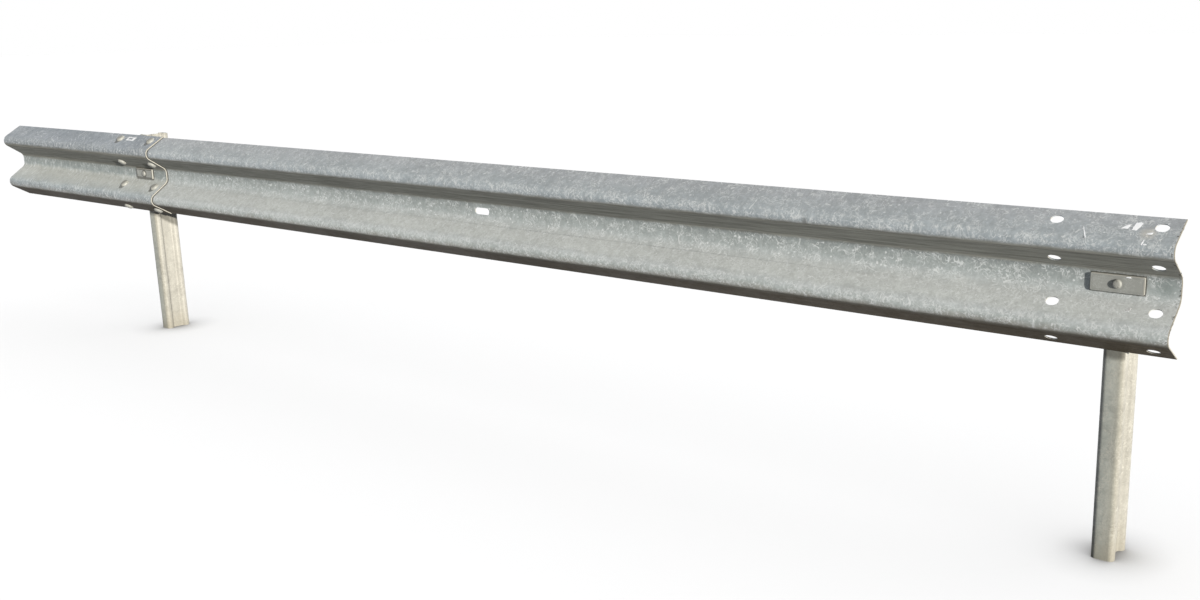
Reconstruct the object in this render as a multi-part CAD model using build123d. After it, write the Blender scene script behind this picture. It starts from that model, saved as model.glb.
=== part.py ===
from build123d import *
from math import asin, atan2, cos, degrees, hypot, radians, sin, sqrt
import os

# Highway guardrail section: one whole two-wave beam and the cut end of its left neighbour,
# lapped and bolted together over two sigma posts. Millimetres, +Z up. X runs along the road,
# the traffic side is -Y. The origin is on the foot of the right post, in its front flange.

# ---- beam sheet and two-wave section ----
sheet = 3.0             # thickness of the beam steel
wave_height = 310.0     # overall height of the section
wave_depth = 81.0       # from the back of the valley to the front of the crests
crest_rise = 93.5       # height of a crest above the valley's middle line
crest_bend = 24.5       # outside radius of a crest
valley_bend = 28.0      # inside radius of the valley's two bends
inner_slope = 35.0      # tilt of the two inner slopes, degrees from level
lip_set = 2.0           # front corner of each lip, ahead of the valley's back

# ---- lengths along the road ----
beam_pitch = 4000.0     # from the middle of one splice to the middle of the next
column_spacing = 230.0  # between the two columns of splice bolts
end_distance = 42.5     # from the outer column to the sheared end
stub_length = 1218.0    # of the neighbour's end that is kept
lap_gap = 0.3           # between the two sheets of the lap

# ---- heights and places of the posts ----
beam_level = 665.0      # ground to the beam's middle line
post_shift = 20.0       # right post's bolt, along its slot from the splice's middle
right_post_drop = 20.0  # right post's top, below the beam's top edge
left_post_rise = 5.0    # left post's top, above the beam's top edge

# ---- sigma post ----
post_depth = 100.0
post_width = 55.0
post_wall = 4.2
post_lip = 18.0         # depth of the two lips beside the open side
post_bend = 13.0        # outside radius of its bends
groove_depth = 13.0     # of the groove along the web
groove_mouth = 60.0
groove_floor = 42.0

# ---- holes in the beam ----
splice_hole = 27.0      # width of the splice slots
splice_slot = 30.0      # and their length
lip_to_row = 19.0       # from the beam's edge in to the outer rows
crest_to_row = 42.5     # from a crest in to the inner rows
post_slot_width = 22.0
post_slot_length = 64.0

# ---- splice bolts ----
bolt_shank = 16.0
bolt_head = 36.0        # across the domed head
bolt_dome = 8.5         # its height
bolt_rim = 1.5          # the head's straight rim
bolt_spare = 5.0        # thread past the nut
nut_flats = 24.0
nut_height = 13.0
washer_size = 34.0
washer_height = 3.0
bore_play = 1.0         # between a shank and the bore round it

# ---- post bolts and cover plates ----
post_bolt = 10.0
post_bolt_flats = 17.0
post_bolt_head = 6.5
post_bolt_spare = 4.0
post_nut_height = 8.5
post_washer = 24.0
post_washer_height = 2.5
plate_length = 120.0
plate_height = 40.0
plate_thickness = 5.0
plate_corner = 3.0

# ---- places worked out from the sizes above ----
skin = post_wall / 2                        # the post's front face, ahead of the origin
beam_back = -skin                           # back of the beam's valley, on the post
crest_mid = crest_bend - sheet / 2          # crest radius at mid sheet
valley_mid = valley_bend + sheet / 2
crest_y = crest_bend - wave_depth           # crest bend's centre, ahead of the beam's back
lip_rise = wave_height / 2 - crest_rise     # lip's front corner, from the crest bend's centre
lip_run = -lip_set - crest_y
outer_slope = degrees(atan2(lip_rise, lip_run) - asin(crest_bend / hypot(lip_rise, lip_run)))
outer_row = wave_height / 2 - lip_to_row    # heights of the bolt rows from the middle line
inner_row = crest_rise - crest_to_row
splice_x = -post_shift                      # middle of the right splice
left_splice_x = splice_x - beam_pitch
left_post_x = left_splice_x
lap_half = column_spacing / 2 + end_distance
beam_length = beam_pitch + 2 * lap_half
lap_offset = sheet + lap_gap
columns = (-column_spacing / 2, column_spacing / 2)


def slope_run():
    """Length of the straight inner slope, and half the width of the valley's flat."""
    lean = radians(inner_slope)
    reach = -crest_y - sheet / 2 - valley_mid * (1 - sin(lean)) + crest_mid * sin(lean)
    run = reach / cos(lean)
    flat = crest_rise - (crest_mid + valley_mid) * cos(lean) - run * sin(lean)
    return run, flat


def wave_section(offset):
    """The two-wave sheet, moved forward by offset along its own normal."""
    run, flat = slope_run()
    lean = radians(outer_slope)
    crest_radius = crest_mid + offset
    tip = (lip_rise - crest_bend * cos(lean)) / sin(lean)
    with BuildSketch(Plane.YZ) as section:
        with BuildLine():
            crest = CenterArc(
                (crest_y, crest_rise), crest_radius, 90 + outer_slope, 180 - outer_slope - inner_slope
            )
            Line(crest @ 0, crest @ 0 + Vector(cos(lean), sin(lean)) * tip)
            valley_radius = valley_mid - offset
            valley_y = -sheet / 2 - valley_mid
            bend = CenterArc((valley_y, flat), valley_radius, 0, 90 - inner_slope)
            Line(crest @ 1, bend @ 1)
            Line(bend @ 0, (valley_y + valley_radius, 0))
            mirror(about=Plane.XZ)
        trace(line_width=sheet)
    return section.sketch


def slope_point(height, offset=0.0):
    """Mid-sheet point and forward normal of a slope, at a height from the middle line."""
    side = 1 if height > 0 else -1
    rise = abs(height)
    if rise > crest_rise:
        lean = radians(outer_slope)
        normal = Vector(0, -sin(lean), cos(lean))
        start = Vector(0, crest_y, crest_rise) + normal * crest_mid
        along = Vector(0, cos(lean), sin(lean))
    else:
        lean = radians(inner_slope)
        normal = Vector(0, -sin(lean), -cos(lean))
        start = Vector(0, crest_y, crest_rise) + normal * crest_mid
        along = Vector(0, cos(lean), -sin(lean))
    point = start + along * ((rise - start.Z) / along.Z) + normal * offset
    return Vector(0, point.Y, side * point.Z), Vector(0, normal.Y, side * normal.Z)


def slope_plane(x, height, offset=0.0):
    """Plane on a slope's mid sheet: its x along the road, its normal to the front."""
    point, normal = slope_point(height, offset)
    origin = Vector(x, beam_back + point.Y, beam_level + point.Z)
    return Plane(origin, x_dir=(1, 0, 0), z_dir=normal)


def splice_slots(middle):
    """Cutters for the eight slots of one splice."""
    cutters = []
    for height in (outer_row, inner_row, -inner_row, -outer_row):
        for column in columns:
            plane = slope_plane(middle + column, height)
            slot = plane * SlotOverall(splice_slot, splice_hole)
            cutters.append(extrude(slot, amount=4 * sheet, both=True))
    return cutters


def post_slot(middle):
    """Cutter for one long slot in the valley."""
    plane = Plane((middle, beam_back, beam_level), x_dir=(1, 0, 0), z_dir=(0, -1, 0))
    slot = plane * SlotOverall(post_slot_length, post_slot_width)
    return extrude(slot, amount=4 * sheet, both=True)


def beam(start, length, offset, splices, slots):
    """A length of beam from start towards +X, with its splice slots and post slots."""
    body = extrude(wave_section(offset), amount=length)
    body = Pos(start, beam_back, beam_level) * body
    for middle in splices:
        for cutter in splice_slots(middle):
            body -= cutter
    for middle in slots:
        body -= post_slot(middle)
    return body


def sigma_section():
    """The post's folded section: lips on -X, the grooved web on +X, its front at -Y."""
    half = post_wall / 2
    open_side = -post_width / 2 + half
    web = post_width / 2 - half
    middle = post_depth / 2 - skin
    rear = post_depth - skin - half
    front = half - skin
    lip = post_lip - half - skin
    points = [
        (open_side, lip),
        (open_side, front),
        (web, front),
        (web, middle - groove_mouth / 2),
        (web - groove_depth, middle - groove_floor / 2),
        (web - groove_depth, middle + groove_floor / 2),
        (web, middle + groove_mouth / 2),
        (web, rear),
        (open_side, rear),
        (open_side, 2 * middle - lip),
    ]
    with BuildSketch() as section:
        with BuildLine():
            FilletPolyline(*points, radius=post_bend - half)
        trace(line_width=post_wall)
    return section.sketch


def post(x, height):
    """A sigma post cut off at ground level, with the bore for its bolt."""
    body = Pos(x, 0, 0) * extrude(sigma_section(), amount=height)
    bore = Cylinder((post_bolt + bore_play) / 2, 4 * post_wall, rotation=(90, 0, 0))
    return body - Pos(x, 0, beam_level) * bore


def hexagon(flats, height):
    """A hexagon standing on the plane z = 0."""
    return extrude(RegularPolygon(flats / 2, 6, major_radius=False), amount=height)


def ring(outside, bore, height):
    """A washer standing on the plane z = 0."""
    blank = Cylinder(outside / 2, height, align=(Align.CENTER, Align.CENTER, Align.MIN))
    return blank - Cylinder(bore / 2, 3 * height)


def nut(flats, bore, height):
    """A hexagon nut on the plane z = 0 with its outer corners turned off."""
    blank = hexagon(flats, height)
    corner = flats / sqrt(3)
    with BuildPart() as turned:
        Cone(corner + height, corner - 1, height + 1, align=(Align.CENTER, Align.CENTER, Align.MIN))
    return (blank & turned.part) - Cylinder(bore / 2, 3 * height)


def mushroom_bolt(length):
    """A round-head bolt: its head stands up from z = 0, its shank runs down."""
    radius = (bolt_head**2 / 4 + bolt_dome**2) / (2 * bolt_dome)
    with BuildPart() as bolt:
        with BuildSketch(Plane.XZ):
            with BuildLine():
                rim = Line((bolt_head / 2, 0), (bolt_head / 2, bolt_rim))
                dome = RadiusArc(rim @ 1, (0, bolt_rim + bolt_dome), -radius)
                Line(dome @ 1, (0, 0))
                Line((0, 0), rim @ 0)
            make_face()
        revolve(axis=Axis.Z)
        with Locations((0, 0, -length / 2)):
            Cylinder(bolt_shank / 2, length)
    return bolt.part


def hex_bolt(length):
    """A hexagon bolt: its head stands up from z = 0, its shank runs down."""
    blank = hexagon(post_bolt_flats, post_bolt_head)
    corner = post_bolt_flats / sqrt(3)
    with BuildPart() as turned:
        Cone(
            corner + post_bolt_head,
            corner - 1,
            post_bolt_head + 1,
            align=(Align.CENTER, Align.CENTER, Align.MIN),
        )
    return (blank & turned.part) + Pos(0, 0, -length / 2) * Cylinder(post_bolt / 2, length)


def plate_seat(offset):
    """How far ahead of the beam's back a flat plate rests on the valley's two bends."""
    run, flat = slope_run()
    radius = valley_bend - offset
    edge = max(plate_height / 2 - flat, 0)
    return sheet + offset + radius - sqrt(radius**2 - edge**2)


def cover_plate(x, offset):
    """The flat plate under a post bolt's head."""
    seat = Plane((x, beam_back - plate_seat(offset), beam_level), x_dir=(1, 0, 0), z_dir=(0, -1, 0))
    outline = RectangleRounded(plate_length, plate_height, plate_corner)
    outline -= Circle((post_bolt + bore_play) / 2)
    return extrude(seat * outline, amount=plate_thickness)


def post_fastener(x, offset):
    """Bolt, washer and nut that hold the beam on one post."""
    face = Plane((x, beam_back - plate_seat(offset) - plate_thickness, beam_level), z_dir=(0, -1, 0))
    inside = Plane((x, post_wall - skin, beam_level), x_dir=(1, 0, 0), z_dir=(0, 1, 0))
    stack = plate_seat(offset) + plate_thickness + post_wall + post_washer_height + post_nut_height
    bolt = face.location * hex_bolt(stack + post_bolt_spare)
    washer = inside.location * ring(post_washer, post_bolt + bore_play, post_washer_height)
    behind = inside.offset(post_washer_height)
    return bolt, washer, behind.location * nut(post_bolt_flats, post_bolt, post_nut_height)


def splice_fastener(x, height):
    """Bolt, washer and nut through the two sheets of the lap."""
    front = slope_plane(x, height, lap_offset + sheet / 2)
    point, normal = slope_point(height, -sheet / 2)
    back = Plane(
        (x, beam_back + point.Y, beam_level + point.Z), x_dir=(1, 0, 0), z_dir=-normal
    )
    grip = sheet + lap_offset
    bolt = front.location * mushroom_bolt(grip + washer_height + nut_height + bolt_spare)
    washer = back.location * ring(washer_size, bolt_shank + bore_play, washer_height)
    behind = back.offset(washer_height)
    return bolt, washer, behind.location * nut(nut_flats, bolt_shank, nut_height)


nodes = {}

# ---- the two beams: the neighbour laps in front of the whole one ----
nodes["long_beam"] = beam(
    left_splice_x - lap_half,
    beam_length,
    0.0,
    (left_splice_x, splice_x),
    (left_splice_x, left_splice_x + beam_pitch / 2, splice_x),
)
nodes["left_beam_end"] = beam(
    left_splice_x + lap_half - stub_length, stub_length, lap_offset, (left_splice_x,), (left_splice_x,)
)

# ---- posts ----
beam_top = beam_level + wave_height / 2
nodes["right_post"] = post(0, beam_top - right_post_drop)
nodes["left_post"] = post(left_post_x, beam_top + left_post_rise)

# ---- cover plates and the bolts through them ----
for side, x, offset in (("left", left_post_x, lap_offset), ("right", 0, 0.0)):
    nodes[side + "_cover_plate"] = cover_plate(x, offset)
    bolt, washer, post_nut = post_fastener(x, offset)
    nodes[side + "_post_bolt"] = bolt
    nodes[side + "_post_washer"] = washer
    nodes[side + "_post_nut"] = post_nut

# ---- the eight bolts of the lap, rows counted from the top ----
rows = (outer_row, inner_row, -inner_row, -outer_row)
for row, height in enumerate(rows, start=1):
    for side, column in zip(("left", "right"), columns):
        name = f"row_{row}_{side}"
        bolt, washer, splice_nut = splice_fastener(left_splice_x + column, height)
        nodes["splice_bolt_" + name] = bolt
        nodes["splice_washer_" + name] = washer
        nodes["splice_nut_" + name] = splice_nut

os.makedirs("parts", exist_ok=True)
for name, solid in nodes.items():
    export_step(solid, f"parts/{name}.step")
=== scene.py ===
import bpy
import numpy as np
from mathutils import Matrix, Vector


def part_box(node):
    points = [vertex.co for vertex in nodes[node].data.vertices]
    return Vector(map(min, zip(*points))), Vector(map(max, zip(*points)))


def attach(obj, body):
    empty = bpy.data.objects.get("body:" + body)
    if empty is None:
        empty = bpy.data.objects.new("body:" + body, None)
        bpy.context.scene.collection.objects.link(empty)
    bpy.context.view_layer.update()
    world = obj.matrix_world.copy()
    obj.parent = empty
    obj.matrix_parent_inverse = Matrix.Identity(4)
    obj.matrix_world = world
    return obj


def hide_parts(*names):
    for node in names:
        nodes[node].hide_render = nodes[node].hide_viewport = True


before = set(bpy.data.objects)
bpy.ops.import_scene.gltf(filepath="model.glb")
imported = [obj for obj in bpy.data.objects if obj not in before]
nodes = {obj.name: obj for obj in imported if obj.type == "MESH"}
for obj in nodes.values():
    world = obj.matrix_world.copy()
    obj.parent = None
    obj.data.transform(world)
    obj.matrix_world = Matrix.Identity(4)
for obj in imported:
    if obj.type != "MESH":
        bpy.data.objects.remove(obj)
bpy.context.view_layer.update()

# ---- camera ----
# A standing person's view from the road, to the right of the near end, looking slightly down
# and along the beam. The film sits a little to the left.
camera_place = (0.8449, -2.6956, 1.2609)
camera_turn = (76.683, 1.076, 37.182)
camera_data = bpy.data.cameras.new("road_view")
camera_data.sensor_width = 36.0
camera_data.lens = 36.698
camera_data.shift_x = -0.0700
camera_data.shift_y = 0.0045
camera_data.clip_end = 200.0
camera = bpy.data.objects.new("road_view", camera_data)
camera.location = camera_place
camera.rotation_euler = np.radians(camera_turn)
bpy.context.scene.collection.objects.link(camera)
bpy.context.scene.camera = camera
bpy.context.scene.view_settings.view_transform = "Standard"

# ---- studio: pale room, low warm key, soft fill from behind and a pale floor ----
# A plain room that lights the part dimly and looks white, a low warm key on the right and a soft
# fill from behind, both for the part alone, and a pale floor that lights the part less than it
# shows. The floor has a broad lamp of its own, in which only the posts leave a soft shadow.
room_light = (0.108, 0.116, 0.126)
key_colour = (1.0, 0.935, 0.82)
white_light = (1.0, 1.0, 1.0)
floor_half = 60.0
floor_paint = 0.72
floor_bounce = 0.17
floor_glow = (0.036, 0.031, 0.026)
floor_contact_shade = 0.14


def put(tree, kind, links=(), **settings):
    """A node of that kind: settings are its properties, links its sockets' values or sources."""
    node = tree.nodes.new(kind)
    for name, value in settings.items():
        setattr(node, name, value)
    for name, value in dict(links).items():
        socket = node.inputs[name]
        if isinstance(value, bpy.types.NodeSocket):
            tree.links.new(value, socket)
        else:
            socket.default_value = value
    return node


def mathed(tree, operation, *values):
    """One Math node's output."""
    return put(tree, "ShaderNodeMath", dict(enumerate(values)), operation=operation).outputs[0]


def seen_directly(tree):
    """One for the camera's, mirrors' and glass's rays, and zero for light on its way."""
    path = put(tree, "ShaderNodeLightPath").outputs
    either = mathed(tree, "MAXIMUM", path["Is Camera Ray"], path["Is Glossy Ray"])
    return mathed(tree, "MAXIMUM", either, path["Is Transmission Ray"])


def sun(name, colour, energy, spread, travel, receivers, blockers=None):
    """A distant lamp, spread degrees wide, that shines along travel on the receivers only. Only the
    blockers shade it, where they are given."""
    data = bpy.data.lights.new(name, "SUN")
    data.color, data.energy, data.angle = colour, energy, np.radians(spread)
    lamp = bpy.data.objects.new(name, data)
    lamp.rotation_euler = Vector(travel).to_track_quat("-Z", "Y").to_euler()
    bpy.context.scene.collection.objects.link(lamp)
    lamp.light_linking.receiver_collection = receivers
    if blockers:
        lamp.light_linking.blocker_collection = blockers


def gathered(name, objects):
    """A collection outside the scene, that only says what a lamp reaches."""
    group = bpy.data.collections.new(name)
    for item in objects:
        group.objects.link(item)
    return group


world = bpy.data.worlds.new("pale_room")
bpy.context.scene.world = world
world.use_nodes = True
tree = world.node_tree
tree.nodes.clear()
dim = put(tree, "ShaderNodeBackground", {"Color": (*room_light, 1.0), "Strength": 1.0})
white = put(tree, "ShaderNodeBackground", {"Color": (*white_light, 1.0), "Strength": 1.0})
choice = put(tree, "ShaderNodeMixShader", {0: seen_directly(tree), 1: dim.outputs[0], 2: white.outputs[0]})
put(tree, "ShaderNodeOutputWorld", {"Surface": choice.outputs[0]})

floor_mesh = bpy.data.meshes.new("floor")
floor_corners = floor_half * np.array([(-1, -1, 0), (1, -1, 0), (1, 1, 0), (-1, 1, 0)])
floor_mesh.from_pydata(floor_corners, [], [(0, 1, 2, 3)])
floor = bpy.data.objects.new("floor", floor_mesh)
bpy.context.scene.collection.objects.link(floor)
floor_finish = bpy.data.materials.new("pale_floor")
floor_finish.use_nodes = True
tree = floor_finish.node_tree
tree.nodes.clear()
direct = seen_directly(tree)
tones = {"Value": direct, "To Min": floor_bounce, "To Max": floor_paint}
tone = put(tree, "ShaderNodeMapRange", tones).outputs[0]
# The floor darkens by ambient occlusion close to the feet: a painted contact shadow.
contact_shade = put(tree, "ShaderNodeAmbientOcclusion", {"Distance": floor_contact_shade}, samples=16).outputs["AO"]
matt = put(tree, "ShaderNodeBsdfDiffuse", {"Color": mathed(tree, "MULTIPLY", tone, contact_shade)})
shine = mathed(tree, "MULTIPLY", direct, contact_shade)
glow = put(tree, "ShaderNodeEmission", {"Color": (*floor_glow, 1.0), "Strength": shine})
both = put(tree, "ShaderNodeAddShader", {0: matt.outputs[0], 1: glow.outputs[0]})
put(tree, "ShaderNodeOutputMaterial", {"Surface": both.outputs[0]})
floor_mesh.materials.append(floor_finish)

part_pieces = gathered("lit_by_key", nodes.values())
floor_alone = gathered("floor_alone", [floor])
feet = gathered("shading_the_floor", [nodes["left_post"], nodes["right_post"]])
sun("key", key_colour, 6.15, 1.5, travel=(-2.5, 1.0, -0.5), receivers=part_pieces)
sun("back_fill", white_light, 2.8, 30.0, travel=(0.25, -1.0, -0.42), receivers=part_pieces)
sun("overhead", white_light, 3.95, 130.0, travel=(0.0, 0.0, -1.0), receivers=floor_alone, blockers=feet)

# ---- the two lengths of beam ----
# Rolled steel strip, hot-dip galvanised and long in the weather: dull zinc, cooler on the upper
# wave, rubbed pale on the crests with a painted highlight there too, and a brown film of road dust
# where rain can't reach, which is also painted shade on the faces that look down. The neighbour's
# end laps in front, and eight bolts hold both. The shades go by height and hold painted light and
# shade of the wave as well as the zinc's colour.
beam_tone_and_painted_shade = [
    (0.512, (0.240, 0.220, 0.185)),
    (0.548, (0.300, 0.285, 0.255)),
    (0.572, (0.404, 0.454, 0.470)),
    (0.585, (0.485, 0.532, 0.565)),
    (0.600, (0.567, 0.610, 0.630)),
    (0.622, (0.538, 0.574, 0.595)),
    (0.640, (0.449, 0.492, 0.520)),
    (0.655, (0.378, 0.424, 0.444)),
    (0.685, (0.294, 0.330, 0.344)),
    (0.735, (0.313, 0.345, 0.367)),
    (0.757, (0.342, 0.397, 0.449)),
    (0.785, (0.404, 0.453, 0.501)),
    (0.815, (0.413, 0.447, 0.497)),
]
# The lap's end alike, with deeper painted shade where its upper crest turns under.
stub_tone_and_painted_shade = [
    (0.512, (0.240, 0.220, 0.185)),
    (0.548, (0.280, 0.270, 0.250)),
    (0.572, (0.257, 0.301, 0.338)),
    (0.585, (0.359, 0.419, 0.464)),
    (0.600, (0.500, 0.546, 0.564)),
    (0.622, (0.551, 0.584, 0.586)),
    (0.640, (0.469, 0.499, 0.501)),
    (0.655, (0.296, 0.341, 0.356)),
    (0.685, (0.237, 0.268, 0.273)),
    (0.735, (0.270, 0.292, 0.305)),
    (0.757, (0.205, 0.240, 0.278)),
    (0.785, (0.330, 0.376, 0.439)),
    (0.815, (0.301, 0.343, 0.402)),
]
# Pale zinc for strokes, specks and scuffs, and for painted highlights on the crests and a dent.
pale_zinc_and_highlight = (0.740, 0.785, 0.830, 1.0)
# Faces that look down, near and far, on the upper and lower wave: road dust and painted shade.
near_dust_and_shade = (0.285, 0.288, 0.266, 1.0)
far_dust_and_shade = (0.225, 0.229, 0.213, 1.0)
near_low_dust_and_shade = (0.083, 0.068, 0.047, 1.0)
far_low_dust_and_shade = (0.071, 0.061, 0.048, 1.0)
cut_zinc = (0.440, 0.432, 0.400, 1.0)
edge_rust = (0.420, 0.385, 0.320, 1.0)
# Dark grime, also laid as painted shade by the plates, lap and bolt heads and under the beam.
grime_and_shade = (0.070, 0.068, 0.058, 1.0)
dull_specular = 0.2
ring_period = 0.314


def product(tree, first, *others):
    """Several masks multiplied."""
    for other in others:
        first = mathed(tree, "MULTIPLY", first, other)
    return first


def vectored(tree, operation, first, second):
    """One Vector Math node's output, which is a number where it is a distance."""
    output = "Value" if operation == "DISTANCE" else "Vector"
    return put(tree, "ShaderNodeVectorMath", {0: first, 1: second}, operation=operation).outputs[output]


def bumped(tree, height, strength, distance):
    """A normal bent by height."""
    links = {"Strength": strength, "Distance": distance, "Height": height}
    return put(tree, "ShaderNodeBump", links).outputs[0]


def ramped(tree, value, low, high, start=0.0, end=1.0):
    """value's smooth step from start at low to end at high."""
    links = {"Value": value, "From Min": low, "From Max": high, "To Min": start, "To Max": end}
    return put(tree, "ShaderNodeMapRange", links, interpolation_type="SMOOTHSTEP").outputs[0]


def blended(tree, factor, under, over, blend="MIX"):
    """over laid on under by factor."""
    node = put(tree, "ShaderNodeMix", {0: factor}, data_type="RGBA", blend_type=blend)
    for socket, value in ((node.inputs[6], under), (node.inputs[7], over)):
        if isinstance(value, bpy.types.NodeSocket):
            tree.links.new(value, socket)
        else:
            socket.default_value = value
    return node.outputs[2]


def toned(tree, colour, tone):
    """colour with its brightness multiplied by tone."""
    grey = put(tree, "ShaderNodeCombineColor", {0: tone, 1: tone, 2: tone}).outputs[0]
    return blended(tree, 1.0, colour, grey, "MULTIPLY")


def noise(tree, place, scale, detail=2.0, roughness=0.5, distortion=0.0):
    """Noise between zero and one, with scale features to the metre."""
    links = {"Vector": place, "Scale": scale, "Detail": detail}
    links.update({"Roughness": roughness, "Distortion": distortion})
    return put(tree, "ShaderNodeTexNoise", links).outputs[0]


def stretched(tree, place, x, y, z):
    """place with each axis multiplied, so that a pattern runs long where the factor is small."""
    return put(tree, "ShaderNodeMapping", {"Vector": place, "Scale": (x, y, z)}).outputs[0]


def shaded(tree, value, stops):
    """A colour read from stops of value and colour, with straight blends between them."""
    first, last = stops[0][0], stops[-1][0]
    links = {"Value": value, "From Min": first, "From Max": last}
    share = put(tree, "ShaderNodeMapRange", links).outputs[0]
    ramp = put(tree, "ShaderNodeValToRGB", {"Fac": share})
    marks = ramp.color_ramp.elements
    for level, colour in stops[1:-1]:
        marks.new((level - first) / (last - first))
    for mark, (level, colour) in zip(marks, stops):
        mark.position = (level - first) / (last - first)
        mark.color = (*colour, 1.0)
    return ramp.outputs[0]


def parted(tree, vector):
    """A vector's three numbers."""
    return put(tree, "ShaderNodeSeparateXYZ", {0: vector}).outputs


def new_group(name, inputs, outputs):
    """An empty shader node group with those sockets, as the group, its input and its output."""
    group = bpy.data.node_groups.new(name, "ShaderNodeTree")
    for label, kind, value in inputs:
        socket = group.interface.new_socket(label, in_out="INPUT", socket_type=kind)
        if value is not None:
            socket.default_value = value
    for label in outputs:
        group.interface.new_socket(label, in_out="OUTPUT", socket_type="NodeSocketFloat")
    return group, put(group, "NodeGroupInput").outputs, put(group, "NodeGroupOutput").inputs


def weathered_zinc_group():
    """Zinc's own pattern. Patch is broad noise. Crystal is one value per Voronoi cell, its borders
    bent by noise. Stroke is where a bent noise crosses its middle value, cut short by another,
    at two sizes. Run is noise drawn out across the road. Speck is the middle of sparse small
    cells. Grain is fine rough noise. Height adds Stroke, Grain and noise for the bump."""
    sockets = [
        ("Place", "NodeSocketVector", None),
        ("Crystals", "NodeSocketFloat", 110.0),
        ("Strokes", "NodeSocketFloat", 30.0),
    ]
    outputs = ["Patch", "Crystal", "Stroke", "Run", "Speck", "Grain", "Height"]
    group, given, result = new_group("weathered_zinc", sockets, outputs)
    place = given["Place"]
    broad = noise(group, place, 3.2, 3.0, 0.55)
    near = noise(group, place, 34.0, 3.0, 0.6, 0.8)
    patch = mathed(group, "MULTIPLY_ADD", near, 0.5, mathed(group, "MULTIPLY", broad, 0.5))
    patch = ramped(group, patch, 0.34, 0.68)
    wander = put(group, "ShaderNodeTexNoise", {"Vector": place, "Scale": 70.0, "Detail": 1.0}).outputs[1]
    moved = vectored(group, "ADD", place, vectored(group, "MULTIPLY", wander, (0.01, 0.01, 0.01)))
    cell_links = {"Vector": moved, "Scale": given["Crystals"], "Smoothness": 0.35}
    cells = put(group, "ShaderNodeTexVoronoi", cell_links, feature="SMOOTH_F1")
    crystal = put(group, "ShaderNodeSeparateColor", {0: cells.outputs["Color"]}).outputs[0]
    lines = noise(group, place, given["Strokes"], 1.5, 0.5, 1.8)
    ridge = mathed(group, "ABSOLUTE", mathed(group, "SUBTRACT", lines, 0.5))
    ridge = ramped(group, ridge, 0.0, 0.032, 1.0, 0.0)
    gaps = ramped(group, noise(group, place, 42.0, 2.0), 0.44, 0.58)
    fine = noise(group, place, mathed(group, "MULTIPLY", given["Strokes"], 2.7), 2.0, 0.5, 1.2)
    fine = mathed(group, "ABSOLUTE", mathed(group, "SUBTRACT", fine, 0.5))
    fine = ramped(group, fine, 0.0, 0.06, 0.8, 0.0)
    fine_gaps = ramped(group, noise(group, place, 31.0, 2.0), 0.42, 0.60)
    stroke = mathed(group, "MAXIMUM", product(group, ridge, gaps), product(group, fine, fine_gaps))
    run = noise(group, stretched(group, place, 150.0, 14.0, 14.0), 1.0, 2.0, 0.5, 0.4)
    run = ramped(group, run, 0.56, 0.74)
    dots = put(group, "ShaderNodeTexVoronoi", {"Vector": moved, "Scale": 75.0})
    rare = put(group, "ShaderNodeSeparateColor", {0: dots.outputs["Color"]}).outputs[1]
    rare = ramped(group, rare, 0.80, 0.83)
    speck = mathed(group, "MULTIPLY", rare, ramped(group, dots.outputs["Distance"], 0.14, 0.28, 1.0, 0.0))
    grain = noise(group, place, 150.0, 4.0, 0.8, 0.6)
    height = mathed(group, "MULTIPLY_ADD", grain, 0.5, mathed(group, "MULTIPLY", near, 0.9))
    height = mathed(group, "MULTIPLY_ADD", stroke, 0.6, height)
    for label, value in zip(outputs, (patch, crystal, stroke, run, speck, grain, height)):
        group.links.new(value, result[label])
    return group


def dust_and_shade_film_group():
    """Dust and painted shade on faces that look down. Film is a smooth step of how far a face looks
    down, less Lean and frayed by noise. Line is noise drawn out along the road."""
    sockets = [("Place", "NodeSocketVector", None), ("Lean", "NodeSocketFloat", 0.0)]
    group, given, result = new_group("dust_and_shade_film", sockets, ["Film", "Line"])
    normal = parted(group, put(group, "ShaderNodeNewGeometry").outputs["Normal"])
    facing = mathed(group, "ADD", normal[2], given["Lean"])
    fray = noise(group, given["Place"], 22.0, 4.0, 0.65)
    level = mathed(group, "MULTIPLY_ADD", mathed(group, "SUBTRACT", fray, 0.5), 0.30, facing)
    group.links.new(ramped(group, level, -0.30, -0.74), result["Film"])
    along = stretched(group, given["Place"], 5.0, 150.0, 150.0)
    group.links.new(noise(group, along, 1.0, 4.0, 0.75), result["Line"])
    return group


def cut_edge_group():
    """Cut faces. Cut is how squarely a face looks along the road, and Nick is dark noise on it."""
    group, given, result = new_group("cut_edge", [("Place", "NodeSocketVector", None)], ["Cut", "Nick"])
    facing = parted(group, put(group, "ShaderNodeNewGeometry").outputs["Normal"])[0]
    cut = ramped(group, mathed(group, "ABSOLUTE", facing), 0.80, 0.95)
    group.links.new(cut, result["Cut"])
    nick = ramped(group, noise(group, given["Place"], 60.0, 3.0), 0.60, 0.66)
    group.links.new(mathed(group, "MULTIPLY", cut, nick), result["Nick"])
    return group


def box_edge_group():
    """How far a point is outside the box between Low and High, seen along Y: the larger of its
    distances from the box's middle less the half size, below zero inside."""
    sockets = [(name, "NodeSocketVector", None) for name in ("Place", "Low", "High")]
    group, given, result = new_group("box_edge", sockets, ["Outside"])
    place, low, high = (parted(group, given[name]) for name in ("Place", "Low", "High"))
    sides = []
    for axis in (0, 2):
        middle = mathed(group, "MULTIPLY", mathed(group, "ADD", low[axis], high[axis]), 0.5)
        half = mathed(group, "MULTIPLY", mathed(group, "SUBTRACT", high[axis], low[axis]), 0.5)
        away = mathed(group, "ABSOLUTE", mathed(group, "SUBTRACT", place[axis], middle))
        sides.append(mathed(group, "SUBTRACT", away, half))
    group.links.new(mathed(group, "MAXIMUM", *sides), result["Outside"])
    return group


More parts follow.
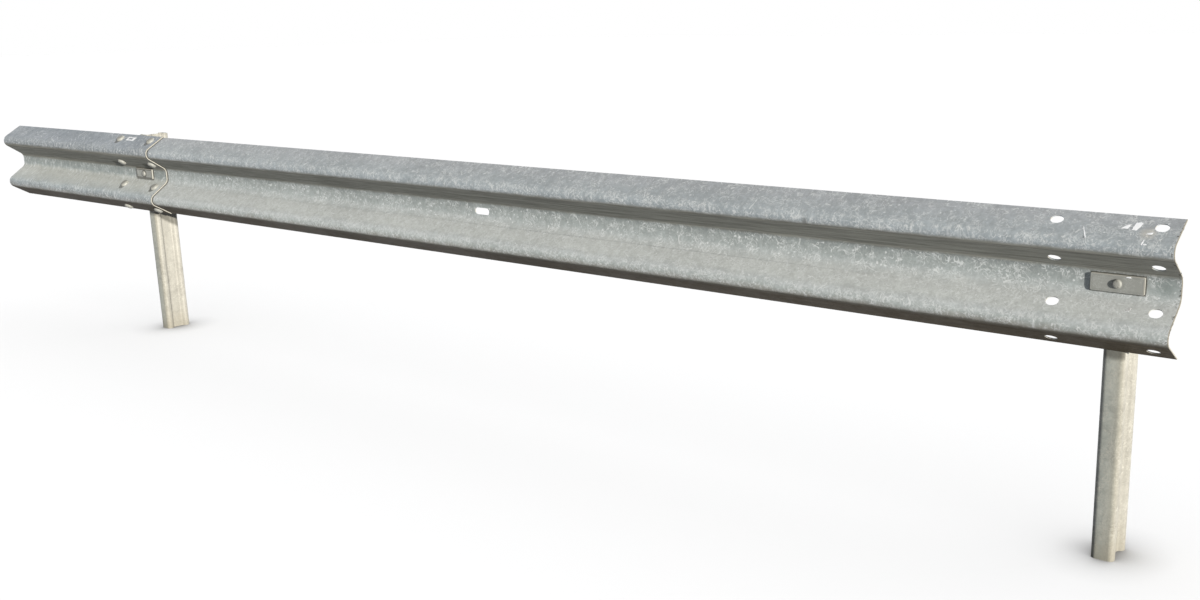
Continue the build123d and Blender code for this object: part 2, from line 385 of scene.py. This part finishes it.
groups = {
    "weathered_zinc": weathered_zinc_group(),
    "dust_and_shade_film": dust_and_shade_film_group(),
    "cut_edge": cut_edge_group(),
    "box_edge": box_edge_group(),
}


def placed(tree, group, **links):
    """A group's outputs in a material's tree."""
    return put(tree, "ShaderNodeGroup", links, node_tree=groups[group]).outputs


def finish_of(name, specular):
    """A new material with a bare shader, as the material, its tree, the shader and the place."""
    material = bpy.data.materials.new(name)
    material.use_nodes = True
    tree = material.node_tree
    tree.nodes.clear()
    shader = put(tree, "ShaderNodeBsdfPrincipled", {"Specular IOR Level": specular})
    put(tree, "ShaderNodeOutputMaterial", {"Surface": shader.outputs[0]})
    return material, tree, shader, put(tree, "ShaderNodeTexCoord").outputs["Object"]


def linked(tree, shader, colour, metal, rough, bump):
    """The four things of a shader that vary over a surface."""
    sockets = ("Base Color", "Metallic", "Roughness", "Normal")
    for name, value in zip(sockets, (colour, metal, rough, bump)):
        tree.links.new(value, shader.inputs[name])


def scuffed(tree, place, colour, clean, scuffs):
    """colour with broken pale arcs where clean is one. An arc is a crest of a bent sine of the
    distance from a middle, which repeats every ring_period metres at a scale of one. scuffs gives
    that middle, the gap between arcs, how many patches they fall into to the metre, and their
    strength."""
    for middle, gap, patches, strength in scuffs:
        around = vectored(tree, "SUBTRACT", place, middle)
        links = {"Vector": around, "Scale": ring_period / gap, "Distortion": 5.0}
        links.update({"Detail": 2.0, "Detail Scale": 1.2})
        wave = put(tree, "ShaderNodeTexWave", links, wave_type="RINGS", rings_direction="SPHERICAL")
        ring = ramped(tree, wave.outputs["Fac"], 0.74, 0.96)
        kept = ramped(tree, noise(tree, around, patches, 2.0, 0.5), 0.50, 0.60)
        broken = ramped(tree, noise(tree, around, 60.0, 2.0, 0.5), 0.44, 0.54)
        colour = blended(tree, product(tree, ring, kept, broken, strength, clean), colour, pale_zinc_and_highlight)
    return colour


def stained_and_shaded(tree, place, colour, fray, grain, spots):
    """colour under round spots, soft at their borders and uneven by the zinc's grain: real stains, and
    painted shade, shadow and highlight where given. spots gives a spot's middle, radius, how many
    times longer it is along the road, border, colour, strength."""
    for middle, radius, stretch, border, over, strength in spots:
        squeeze = Vector((1.0 / stretch, 1.0, 1.0))
        away = vectored(tree, "DISTANCE", vectored(tree, "MULTIPLY", place, squeeze), middle * squeeze)
        away = mathed(tree, "MULTIPLY_ADD", fray, border, away)
        inside = ramped(tree, away, radius - border, radius, 1.0, 0.0)
        level = ramped(tree, grain, 0.35, 0.60, 0.55 * strength, strength)
        colour = blended(tree, product(tree, level, inside), colour, over)
    return colour


def filmed(tree, x, z, colour, film):
    """colour under road dust in fine lines, which is painted shade as well on faces that look down,
    darker on the lower wave and greyer down the road.
    """
    far = ramped(tree, x, -0.2, -2.2)
    dust = blended(tree, far, near_dust_and_shade, far_dust_and_shade)
    low_dust = blended(tree, far, near_low_dust_and_shade, far_low_dust_and_shade)
    dust = blended(tree, ramped(tree, z, 0.566, 0.544), dust, low_dust)
    dust = toned(tree, dust, ramped(tree, film["Line"], 0.3, 0.7, 0.68, 1.32))
    return blended(tree, film["Film"], colour, dust)


def sheared(tree, place, x, colour, ends, bands):
    """colour chipped and grimy beside the two ends and bare on the cut faces. bands gives stretches
    of the road's axis that are laid over last: start, end, colour."""
    cut = placed(tree, "cut_edge", Place=place)
    from_start, from_end = mathed(tree, "SUBTRACT", x, ends[0]), mathed(tree, "SUBTRACT", ends[1], x)
    beside = ramped(tree, mathed(tree, "MINIMUM", from_start, from_end), 0.004, 0.011, 0.8, 0.0)
    chipped = ramped(tree, noise(tree, place, 110.0, 3.0, 0.6), 0.56, 0.62)
    colour = blended(tree, product(tree, chipped, beside), colour, grime_and_shade)
    colour = blended(tree, product(tree, cut["Cut"], 0.9), colour, cut_zinc)
    colour = blended(tree, cut["Nick"], colour, grime_and_shade)
    for start, end, over in bands:
        past, before = mathed(tree, "GREATER_THAN", x, start), mathed(tree, "LESS_THAN", x, end)
        colour = blended(tree, product(tree, past, before, 0.85), colour, over)
    return colour


def beam_finish(name, shades, grain, strokes, runs, lean, plate, plate_rim_dirt_and_shade, bands, spots, scuffs):
    """Zinc shaded by height on the section, its stops holding painted light and shade as well, with
    crystal, strokes and runs, pale blotches on the crests that are wear and a painted highlight,
    dust and painted shade on the undersides that starts higher on the upper wave where lean is
    below zero, and grime and painted shade round the cover plate as wide as plate_rim_dirt_and_shade."""
    material, tree, shader, place = finish_of(name + "_weathered", dull_specular)
    zinc = placed(tree, "weathered_zinc", Place=place, Crystals=95.0, Strokes=26.0)
    x, y, z = parted(tree, place)
    film = placed(tree, "dust_and_shade_film", Place=place, Lean=ramped(tree, z, 0.60, 0.68, 0.07, lean))
    fray = mathed(tree, "SUBTRACT", noise(tree, place, 18.0, 3.0, 0.6), 0.5)
    colour = shaded(tree, mathed(tree, "MULTIPLY_ADD", fray, 0.025, z), shades)
    colour = toned(tree, colour, ramped(tree, zinc["Patch"], 0.0, 1.0, 1.05, 0.93))
    colour = toned(tree, colour, ramped(tree, zinc["Grain"], 0.25, 0.75, 1.0 - grain, 1.0 + grain))
    colour = toned(tree, colour, ramped(tree, zinc["Crystal"], 0.0, 1.0, 0.95, 1.05))
    front = mathed(tree, "MULTIPLY_ADD", noise(tree, place, 40.0, 3.0, 0.6), 0.028, y)
    # Pale on the front of the crests: rubbed wear and a painted highlight.
    crest = ramped(tree, front, -0.050, -0.070)
    blotch = ramped(tree, noise(tree, place, 130.0, 3.0, 0.6), 0.50, 0.64)
    rubbed_and_highlit = product(tree, crest, mathed(tree, "MULTIPLY_ADD", blotch, 0.42, 0.03))
    run = product(tree, zinc["Run"], ramped(tree, crest, 0.0, 1.0, runs * 0.45, runs))
    stroke, speck = product(tree, zinc["Stroke"], strokes), product(tree, zinc["Speck"], 0.7)
    for mask in (rubbed_and_highlit, stroke, run, speck):
        colour = blended(tree, mask, colour, pale_zinc_and_highlight)
    colour = filmed(tree, x, z, colour, film)
    colour = scuffed(tree, place, colour, ramped(tree, film["Film"], 0.0, 0.5, 1.0, 0.0), scuffs)
    # Grime round the cover plate, and painted shade where plate and beam meet.
    low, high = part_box(plate)
    outside = placed(tree, "box_edge", Place=place, Low=low, High=high)["Outside"]
    rim = mathed(tree, "MULTIPLY_ADD", noise(tree, place, 120.0, 2.0), -0.003, outside)
    colour = blended(tree, ramped(tree, rim, -0.0005, plate_rim_dirt_and_shade, 0.9, 0.0), colour, grime_and_shade)
    colour = stained_and_shaded(tree, place, colour, fray, zinc["Grain"], spots)
    colour = sheared(tree, place, x, colour, [corner[0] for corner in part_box(name)], bands)
    crystal_metal = ramped(tree, zinc["Crystal"], 0.0, 1.0, 0.02, 0.06)
    patch_rough = ramped(tree, zinc["Patch"], 0.0, 1.0, 0.46, 0.60)
    metal = mathed(tree, "MULTIPLY_ADD", film["Film"], -0.02, crystal_metal)
    rough = mathed(tree, "MULTIPLY_ADD", film["Film"], 0.25, patch_rough)
    linked(tree, shader, colour, metal, rough, bumped(tree, zinc["Height"], 0.40, 0.0008))
    return material


def dress(names, material):
    """Gives CAD nodes their finish."""
    for name in names:
        nodes[name].data.materials.clear()
        nodes[name].data.materials.append(material)


lap_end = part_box("left_beam_end")[1][0]
free_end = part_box("long_beam")[1][0]
# Dirt and painted shade beside the lap, rust on the free end's cut, and bare zinc along the lap's
# cut edge, widened onto the front as a painted highlight.
beam_bands = [(lap_end, lap_end + 0.009, grime_and_shade), (free_end - 0.0022, free_end, edge_rust)]
stub_bands = [(lap_end - 0.0025, lap_end + 0.001, cut_zinc)]
# A damp mark and dusty paint by the near end, and a dent painted as a dark patch of shade with
# a painted glint.
damp_stain = (Vector((0.101, -0.005, 0.664)), 0.036, 1.0, 0.030, (0.170, 0.215, 0.215, 1.0), 0.5)
paint_dust = (Vector((0.072, -0.045, 0.778)), 0.030, 1.0, 0.022, (0.640, 0.600, 0.530, 1.0), 0.60)
dent_shade = (Vector((-0.768, -0.083, 0.751)), 0.014, 1.0, 0.010, (0.160, 0.165, 0.160, 1.0), 0.7)
dent_glint = (Vector((-0.795, -0.083, 0.758)), 0.011, 1.0, 0.008, pale_zinc_and_highlight, 0.6)
# Painted shadows of the splice bolts' heads, cast down and to the left, with some grime: where its
# middle lies from the middle of the front of a bolt's box, its radius, and how many times longer it
# is along the road.
outer_head_shadow = (Vector((-0.005, 0.008, -0.003)), 0.020, 1.0)
under_head_shadow = (Vector((-0.057, 0.028, -0.017)), 0.015, 3.4)
row_head_shadows = {1: outer_head_shadow, 2: under_head_shadow, 3: outer_head_shadow, 4: under_head_shadow}
bolt_head_shadows = []
for row, (slide, radius, stretch) in row_head_shadows.items():
    for side in ("left", "right"):
        low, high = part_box(f"splice_bolt_row_{row}_{side}")
        head = Vector(((low[0] + high[0]) / 2, low[1], (low[2] + high[2]) / 2))
        bolt_head_shadows.append((head + slide, radius, stretch, 0.005, grime_and_shade, 0.80))
beam_spots = [damp_stain, paint_dust, dent_shade, dent_glint]
beam_look = beam_finish(
    "long_beam", beam_tone_and_painted_shade, grain=0.12, strokes=0.75, runs=0.28, lean=0.0,
    plate="right_cover_plate", plate_rim_dirt_and_shade=0.003, bands=beam_bands, spots=beam_spots, scuffs=[],
)
stub_scuffs = [
    (Vector((-4.75, -0.30, 0.62)), 0.018, 13.0, 0.50),
    (Vector((-4.05, -0.25, 0.90)), 0.022, 17.0, 0.42),
]
stub_look = beam_finish(
    "left_beam_end", stub_tone_and_painted_shade, grain=0.08, strokes=0.34, runs=0.50, lean=-0.22,
    plate="left_cover_plate", plate_rim_dirt_and_shade=0.007, bands=stub_bands, spots=bolt_head_shadows, scuffs=stub_scuffs,
)
dress(["long_beam"], beam_look)
dress(["left_beam_end"], stub_look)

# ---- paint chips ----
# Flakes of white road paint by the near end, on the beam and its cover plate, and what is left
# of a painted tag by the lap, all a quarter of a millimetre thick.
chip_paint = (0.860, 0.870, 0.880, 1.0)
chip_thickness = 0.00025
chip_steps = 4
dark_zinc = (0.255, 0.270, 0.272, 1.0)
sharp_from = 35.0


def tubed(points):
    """Quads between a stack of closed rings, as rows of point numbers."""
    rings, around = points.shape[:2]
    number = np.arange(rings * around).reshape(rings, around)
    turned = np.roll(number, -1, axis=1)
    return np.stack([number[:-1], number[1:], turned[1:], turned[:-1]], axis=-1).reshape(-1, 4)


def piece(name, stacks, material):
    """A new object from stacks of rings, each closed by its first and last ring as flat ends. An
    edge is sharp where its faces meet at more than sharp_from degrees."""
    vertices, faces, start = [], [], 0
    for points in stacks:
        rings, around = points.shape[:2]
        vertices.append(points.reshape(-1, 3))
        faces += (tubed(points) + start).tolist()
        faces.append(list(range(start, start + around)))
        faces.append(list(range(start + rings * around - 1, start + (rings - 1) * around - 1, -1)))
        start += rings * around
    mesh = bpy.data.meshes.new(name)
    mesh.from_pydata(np.concatenate(vertices), [], faces)
    mesh.shade_smooth()
    mesh.set_sharp_from_angle(angle=np.radians(sharp_from))
    mesh.materials.append(material)
    made = bpy.data.objects.new(name, mesh)
    bpy.context.scene.collection.objects.link(made)
    part_pieces.objects.link(made)
    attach(made, "root")
    return made


def flake(node, x, z, outline):
    """A flat flake on the front skin of a node, over the point at x and z. outline is its corners in
    millimetres, along the road and up the slope. Its edges are cut in steps and waved by a sine of
    the step's number. Four rings go from the top down: each is the outline times its share of the
    size, lifted off the skin by its share of the thickness."""
    _, seat, normal, _ = nodes[node].ray_cast(Vector((x, -1.0, z)), Vector((0.0, 1.0, 0.0)))
    normal = np.array(normal)
    along = np.array([1.0, 0.0, 0.0])
    upward = np.cross(normal, along)
    corners = np.array(outline) / 1000.0
    steps = np.linspace(0.0, 1.0, chip_steps, endpoint=False)[:, None]
    edges = zip(corners, np.roll(corners, -1, axis=0))
    ring = np.concatenate([start + (end - start) * steps for start, end in edges])
    ring = ring * (1.0 + 0.08 * np.sin(np.arange(len(ring)) * 2.4))[:, None]
    shares = np.array([(0.90, 1.0), (0.97, 0.95), (1.0, 0.4), (1.0, 0.0)])
    flat = ring[None] * shares[:, 0, None, None]
    lift = (shares[:, 1] * chip_thickness)[:, None, None] * normal
    return np.array(seat) + flat[..., :1] * along + flat[..., 1:] * upward + lift


def paint_finish():
    """White road paint that its glass beads make shine, worn thin in places, where zinc shows."""
    material, tree, shader, place = finish_of("road_paint", 0.5)
    worn = ramped(tree, noise(tree, place, 180.0, 3.0, 0.6), 0.66, 0.72)
    thin = ramped(tree, noise(tree, place, 60.0, 2.0), 0.4, 0.7, 0.0, 0.2)
    colour = blended(tree, worn, blended(tree, thin, chip_paint, pale_zinc_and_highlight), dark_zinc)
    metal, rough = ramped(tree, worn, 0.0, 1.0, 0.80, 0.1), ramped(tree, worn, 0.0, 1.0, 0.5, 0.7)
    linked(tree, shader, colour, metal, rough, bumped(tree, worn, 0.3, 0.0002))
    return material


paint = paint_finish()
near_flakes = [
    flake("long_beam", 0.019, 0.799, [(-9, -7), (7, -6), (10, 9), (3, 7)]),
    flake("long_beam", 0.043, 0.801, [(-9, -13), (2, -13), (10, 10), (8, 14), (-5, 13), (-7, 2)]),
    flake("long_beam", 0.074, 0.791, [(-8, -4), (5, -3), (8, 5), (1, 2)]),
    flake("long_beam", 0.069, 0.775, [(-4, -6), (-1, -7), (2, 6), (-1, 5)]),
    flake("long_beam", 0.072, 0.772, [(-2, -2), (6, -2), (5, 0), (-1, 0)]),
    flake("long_beam", 0.035, 0.616, [(-6, -5), (4, -5), (6, 5), (3, 7)]),
    flake("right_cover_plate", 0.024, 0.682, [(-6, -1.5), (6, -1.5), (5, 1.5), (-3, 1)]),
    flake("long_beam", -0.063, 0.784, [(8.0, -19), (10.5, -18), (-5.5, 18), (-7.0, 17)]),
]
piece("near_paint_flakes", near_flakes, paint)
tag = [
    flake("left_beam_end", -4.062, 0.808, [(-30, -11), (30, -11), (30, -5), (-30, -5)]),
    flake("left_beam_end", -4.062, 0.808, [(-30, 6), (30, 6), (30, 11), (-30, 11)]),
    flake("left_beam_end", -4.062, 0.808, [(-30, -5), (-19, -5), (-19, 6), (-30, 6)]),
    flake("left_beam_end", -4.062, 0.808, [(14, -5), (30, -5), (30, 6), (14, 6)]),
]
piece("lap_paint_tag", tag, paint)

# ---- the two posts ----
# Cold-rolled sigma sections, galvanised: smoother and warmer zinc, scored along their length,
# with a little soil splashed up the foot. The front flange's shades go by the distance from its
# middle: painted shade on the edge turned from the key, painted light towards the lit corner.
post_zinc = (0.348, 0.345, 0.322, 1.0)
post_pale = (0.500, 0.500, 0.465, 1.0)
flange_painted_light_and_shade = [
    (-0.0275, (0.120, 0.132, 0.128)),
    (-0.0215, (0.290, 0.313, 0.303)),
    (-0.0080, (0.345, 0.372, 0.360)),
    (0.0060, (0.385, 0.403, 0.380)),
    (0.0150, (0.360, 0.368, 0.335)),
    (0.0220, (0.318, 0.314, 0.280)),
    (0.0275, (0.345, 0.342, 0.320)),
]
soil = (0.260, 0.240, 0.190, 1.0)


def post_finish(name, shadow_and_dirt_depth):
    """Warm zinc with long faint scores, cooler and dull across the front flange with painted light and
    shade across it, with soil near the ground, and a painted shadow of the beam, partly grime, under
    the beam as far back as shadow_and_dirt_depth, which hangs lower towards the back."""
    material, tree, shader, place = finish_of(name + "_weathered", dull_specular)
    zinc = placed(tree, "weathered_zinc", Place=place, Crystals=130.0, Strokes=32.0)
    film = placed(tree, "dust_and_shade_film", Place=place)
    scores = noise(tree, stretched(tree, place, 260.0, 260.0, 3.0), 1.0, 3.0, 0.6)
    broad = noise(tree, stretched(tree, place, 40.0, 40.0, 5.0), 1.0, 2.0, 0.5)
    x, y, z = parted(tree, place)
    low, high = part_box(name)
    across = mathed(tree, "SUBTRACT", x, (low[0] + high[0]) / 2)
    across = mathed(tree, "MULTIPLY_ADD", mathed(tree, "SUBTRACT", broad, 0.5), 0.012, across)
    flange = shaded(tree, across, flange_painted_light_and_shade)
    colour = blended(tree, ramped(tree, y, 0.014, 0.006), post_zinc, flange)
    colour = toned(tree, colour, ramped(tree, zinc["Patch"], 0.0, 1.0, 1.12, 0.86))
    colour = toned(tree, colour, ramped(tree, zinc["Grain"], 0.25, 0.75, 0.88, 1.12))
    colour = toned(tree, colour, ramped(tree, broad, 0.25, 0.75, 0.93, 1.07))
    colour = blended(tree, ramped(tree, scores, 0.50, 0.75, 0.0, 0.35), colour, post_pale)
    colour = blended(tree, product(tree, zinc["Stroke"], 0.7), colour, post_pale)
    splash = mathed(tree, "MULTIPLY_ADD", noise(tree, place, 30.0, 4.0, 0.6), -0.10, z)
    dirt = ramped(tree, splash, 0.06, -0.07)
    colour = blended(tree, product(tree, dirt, 0.5), colour, soil)
    colour = blended(tree, product(tree, film["Film"], 0.6), colour, soil)
    # The beam's painted shadow, partly grime: dark under the beam, hanging lower towards the back.
    beam_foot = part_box("long_beam")[0][2]
    hang = mathed(tree, "MULTIPLY_ADD", mathed(tree, "MAXIMUM", y, 0.0), 0.65, z)
    hang = mathed(tree, "MULTIPLY_ADD", noise(tree, place, 60.0, 3.0), 0.004, hang)
    over_foot = ramped(tree, hang, beam_foot - 0.026, beam_foot - 0.010)
    below_top = ramped(tree, z, beam_foot + 0.035, beam_foot + 0.015)
    before_back = ramped(tree, y, shadow_and_dirt_depth, shadow_and_dirt_depth - 0.003)
    facing = parted(tree, put(tree, "ShaderNodeNewGeometry").outputs["Normal"])
    roadward = mathed(tree, "MAXIMUM", facing[0], mathed(tree, "MULTIPLY", facing[1], -1.0))
    roadward = ramped(tree, roadward, 0.2, 0.5)
    shadow_and_dirt_band = product(tree, over_foot, before_back, below_top, roadward, 0.70)
    colour = blended(tree, shadow_and_dirt_band, colour, grime_and_shade)
    crystal_metal = ramped(tree, zinc["Crystal"], 0.0, 1.0, 0.03, 0.07)
    patch_rough = ramped(tree, zinc["Patch"], 0.0, 1.0, 0.42, 0.54)
    metal = mathed(tree, "MULTIPLY_ADD", dirt, -0.03, crystal_metal)
    rough = mathed(tree, "MULTIPLY_ADD", dirt, 0.2, patch_rough)
    height = mathed(tree, "ADD", zinc["Height"], scores)
    linked(tree, shader, colour, metal, rough, bumped(tree, height, 0.30, 0.0006))
    return material


dress(["left_post"], post_finish("left_post", shadow_and_dirt_depth=0.102))
dress(["right_post"], post_finish("right_post", shadow_and_dirt_depth=0.004))

# ---- cover plates ----
# Flat bar, sheared and galvanised, greyer and smoother than the beam, with rubbed bright edges
# along the top and near end that are a painted highlight too, and dirt that is painted shade as
# well inside its border and round the bolt.
plate_zinc = (0.325, 0.341, 0.334, 1.0)


def small_zinc(tree, place, base, pale):
    """Fine-grained zinc's colour, metal, roughness and height, for small parts."""
    zinc = placed(tree, "weathered_zinc", Place=place, Crystals=260.0, Strokes=70.0)
    colour = blended(tree, product(tree, zinc["Patch"], 0.3), base, dark_zinc)
    colour = blended(tree, product(tree, zinc["Stroke"], 0.25), colour, pale)
    metal = ramped(tree, zinc["Crystal"], 0.0, 1.0, 0.03, 0.08)
    rough = ramped(tree, zinc["Patch"], 0.0, 1.0, 0.42, 0.56)
    return colour, metal, rough, zinc["Height"]


def plate_finish(node, dirt):
    """Small zinc, rubbed pale along the top and at the near end, which is a painted highlight too, with
    dirt and painted shade by that much inside its border and round the bolt."""
    material, tree, shader, place = finish_of(node + "_weathered", dull_specular)
    colour, metal, rough, height = small_zinc(tree, place, plate_zinc, pale_zinc_and_highlight)
    low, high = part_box(node)
    outside = placed(tree, "box_edge", Place=place, Low=low, High=high)["Outside"]
    inner, outer = ramped(tree, outside, -0.0070, -0.0045), ramped(tree, outside, -0.0005, -0.0020)
    away = vectored(tree, "DISTANCE", place, (Vector(low) + Vector(high)) / 2)
    by_bolt = ramped(tree, away, 0.015, 0.019, 1.0, 0.0)
    # Painted shade with some dirt inside the border and round the bolt head.
    dirty_and_shaded = mathed(tree, "MAXIMUM", product(tree, inner, outer), by_bolt)
    colour = blended(tree, product(tree, dirty_and_shaded, dirt), colour, grime_and_shade)
    x, _, z = parted(tree, place)
    fray = mathed(tree, "MULTIPLY", noise(tree, place, 150.0, 2.0), 0.001)
    # Pale along the top and the near end: rubbed wear and a painted highlight.
    top = ramped(tree, mathed(tree, "ADD", z, fray), high[2] - 0.0018, high[2] - 0.0006)
    end = ramped(tree, mathed(tree, "ADD", x, fray), high[0] - 0.0030, high[0] - 0.0014)
    rubbed_and_highlit = product(tree, mathed(tree, "MAXIMUM", top, end), 0.75)
    colour = blended(tree, rubbed_and_highlit, colour, cut_zinc)
    linked(tree, shader, colour, metal, rough, bumped(tree, height, 0.3, 0.0004))
    return material


dress(["left_cover_plate"], plate_finish("left_cover_plate", dirt=0.75))
dress(["right_cover_plate"], plate_finish("right_cover_plate", dirt=0.12))

# ---- bolts, nuts and washers ----
# Spun-galvanised fasteners. The bolts are forged with round heads and rolled thread, and each
# replaces its plain CAD bolt.
fastener_zinc = (0.330, 0.338, 0.325, 1.0)
fastener_pale = (0.560, 0.555, 0.520, 1.0)
splice_bolt = dict(head_radius=0.018, head_height=0.010, shank_radius=0.00795, plain_shank=0.008)
post_bolt = dict(head_radius=0.0108, head_height=0.0065, shank_radius=0.00495, plain_shank=0.004)
bolt_sides = 32
head_rings = 11
rim_height = 0.0006
rim_chamfer = 0.0005
thread_pitch = 0.002
thread_depth = 0.07
thread_rings = 6
run_in = 0.0003
run_out = 0.0012
tip_length = 0.0008


def fastener_finish():
    """Small zinc with grime in its low spots."""
    material, tree, shader, place = finish_of("fastener_weathered", dull_specular)
    colour, metal, rough, height = small_zinc(tree, place, fastener_zinc, fastener_pale)
    low_spot = ramped(tree, noise(tree, place, 140.0, 3.0), 0.42, 0.30)
    colour = blended(tree, product(tree, low_spot, 0.6), colour, grime_and_shade)
    linked(tree, shader, colour, metal, rough, bumped(tree, height, 0.4, 0.0004))
    return material


def points_of(node):
    """A node's points as an array."""
    flat = np.empty(len(node.data.vertices) * 3)
    node.data.vertices.foreach_get("co", flat)
    return flat.reshape(-1, 3)


def round_bolt(name, node, washer, head_radius, head_height, shank_radius, plain_shank):
    """A round-head bolt, turned about the washer's axis. Its rings go from the head's crown down: a
    flattened arc to the rim, the rim, the plain shank, then thread. The thread's radius is a
    triangle wave of the distance down in pitches plus the angle in turns, and it ends above a tip
    as thin as the thread's root. thread_depth is a share of the shank's diameter."""
    ring = points_of(nodes[washer])
    centre = ring.mean(axis=0)
    axis = np.linalg.svd(ring - centre)[2][-1]
    axis = axis * -np.sign(axis[1])
    reach = (points_of(nodes[node]) - centre) @ axis
    crown, tip = reach.max(), reach.min()
    seat = crown - head_height
    bow = np.linspace(0.02, 1.0, head_rings)
    head = [(head_radius * b, crown - head_height * (0.18 * b**2 + 0.64 * b**9)) for b in bow]
    rim = [(head_radius, seat + rim_height), (head_radius - rim_chamfer, seat)]
    shank = [(shank_radius, seat), (shank_radius, seat - plain_shank)]
    profile = np.array(head + rim + shank)
    turns = np.arange(bolt_sides) / bolt_sides
    down = np.arange(seat - plain_shank - run_in, tip + run_out, -thread_pitch / thread_rings)
    wave = 2.0 * np.abs((down[:, None] / thread_pitch + turns[None]) % 1.0 - 0.5)
    root = shank_radius * (1.0 - 2.0 * thread_depth)
    thread = shank_radius * (1.0 - 2.0 * thread_depth * wave)
    turned = np.repeat(profile[:, :1], bolt_sides, axis=1)
    radius = np.concatenate([turned, thread, np.full((2, bolt_sides), root)])
    radius[-1] *= 0.9
    level = np.concatenate([profile[:, 1], down, [tip + tip_length, tip]])
    across = np.array([1.0, 0.0, 0.0])
    upward = np.cross(axis, across)
    angle = turns[:, None] * 2 * np.pi
    swing = np.cos(angle) * across + np.sin(angle) * upward
    points = centre + level[:, None, None] * axis + radius[..., None] * swing
    made = piece(name, [points], fastener)
    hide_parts(node)


fastener = fastener_finish()
dress([name for name in nodes if "bolt" in name or "washer" in name or "nut" in name], fastener)
for side in ("left", "right"):
    for row in (1, 2, 3, 4):
        place = f"row_{row}_{side}"
        washer = "splice_washer_" + place
        round_bolt("threaded_bolt_" + place, "splice_bolt_" + place, washer, **splice_bolt)
    round_bolt(side + "_round_bolt", side + "_post_bolt", side + "_post_washer", **post_bolt)
